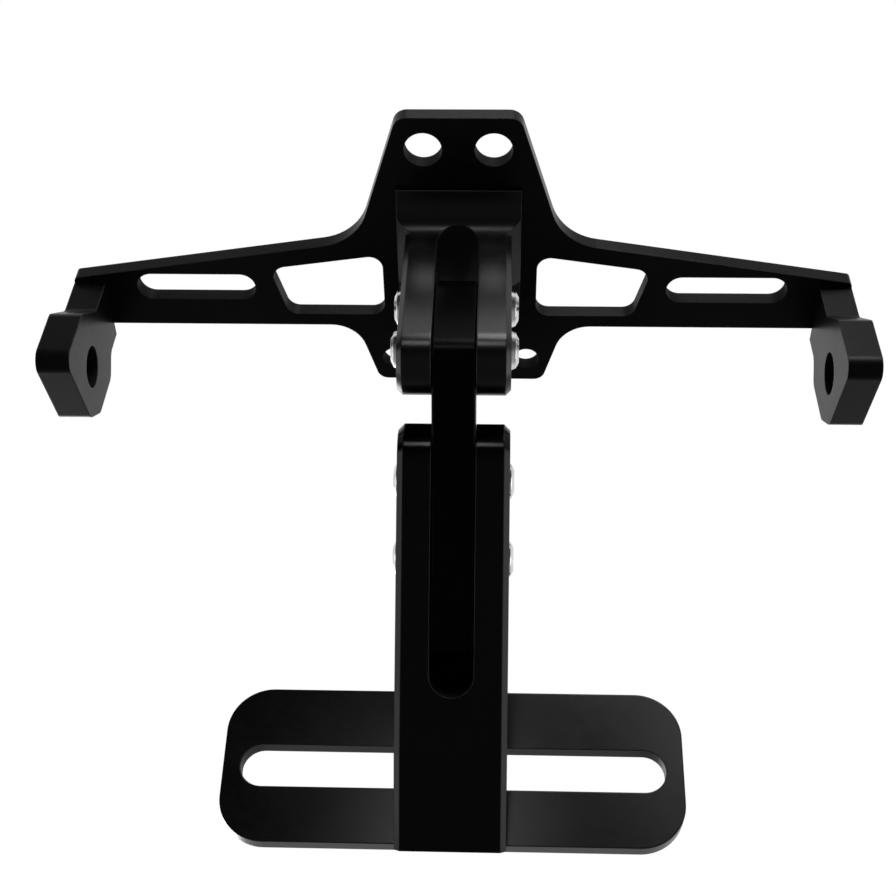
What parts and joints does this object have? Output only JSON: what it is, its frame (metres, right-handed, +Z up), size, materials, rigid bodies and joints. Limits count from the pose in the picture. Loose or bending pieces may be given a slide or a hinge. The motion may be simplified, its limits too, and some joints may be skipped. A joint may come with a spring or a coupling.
{
  "type": "number plate clamp",
  "caption": "Black anodised tail bracket: a winged mounting plate with signal lugs, a clevis and bent link bar, and a forked arm carrying a slotted plate for a number plate.",
  "frame": {"origin": "midway between the two tail bolt holes, on the wing plate's mounting face", "axes": "+X to the right wing, +Y to the rear, where the number plate sits, +Z up out of the mounting face"},
  "size_m": [0.1972, 0.1273, 0.1236],
  "materials": {
    "wing_anodised": "satin black anodised",
    "clevis_anodised": "satin black anodised",
    "link_anodised": "satin black anodised",
    "arm_anodised": "satin black anodised",
    "carrier_anodised": "satin black anodised",
    "lug_anodised": "satin black anodised",
    "stainless": "bright stainless",
    "black_steel": "black oxide"
  },
  "bodies": {
    "root": {"wing_plate": "wing_anodised", "upper_clevis": "clevis_anodised", "link_bar": "link_anodised", "lower_arm": "arm_anodised", "slotted_plate": "carrier_anodised", "left_signal_lug": "lug_anodised", "right_signal_lug": "lug_anodised", "clevis_screw_left_upper": "stainless", "clevis_screw_left_lower": "stainless", "clevis_screw_right_upper": "stainless", "clevis_screw_right_lower": "stainless", "arm_screw_left_upper": "stainless", "arm_screw_left_lower": "stainless", "arm_screw_right_upper": "stainless", "arm_screw_right_lower": "stainless", "base_screw_left": "black_steel", "base_screw_right": "black_steel", "lug_screw_left_front": "black_steel", "lug_screw_left_rear": "black_steel", "lug_screw_right_front": "black_steel", "lug_screw_right_rear": "black_steel", "plate_screw_lower": "black_steel", "plate_screw_upper": "black_steel"}
  },
  "joints": []
}
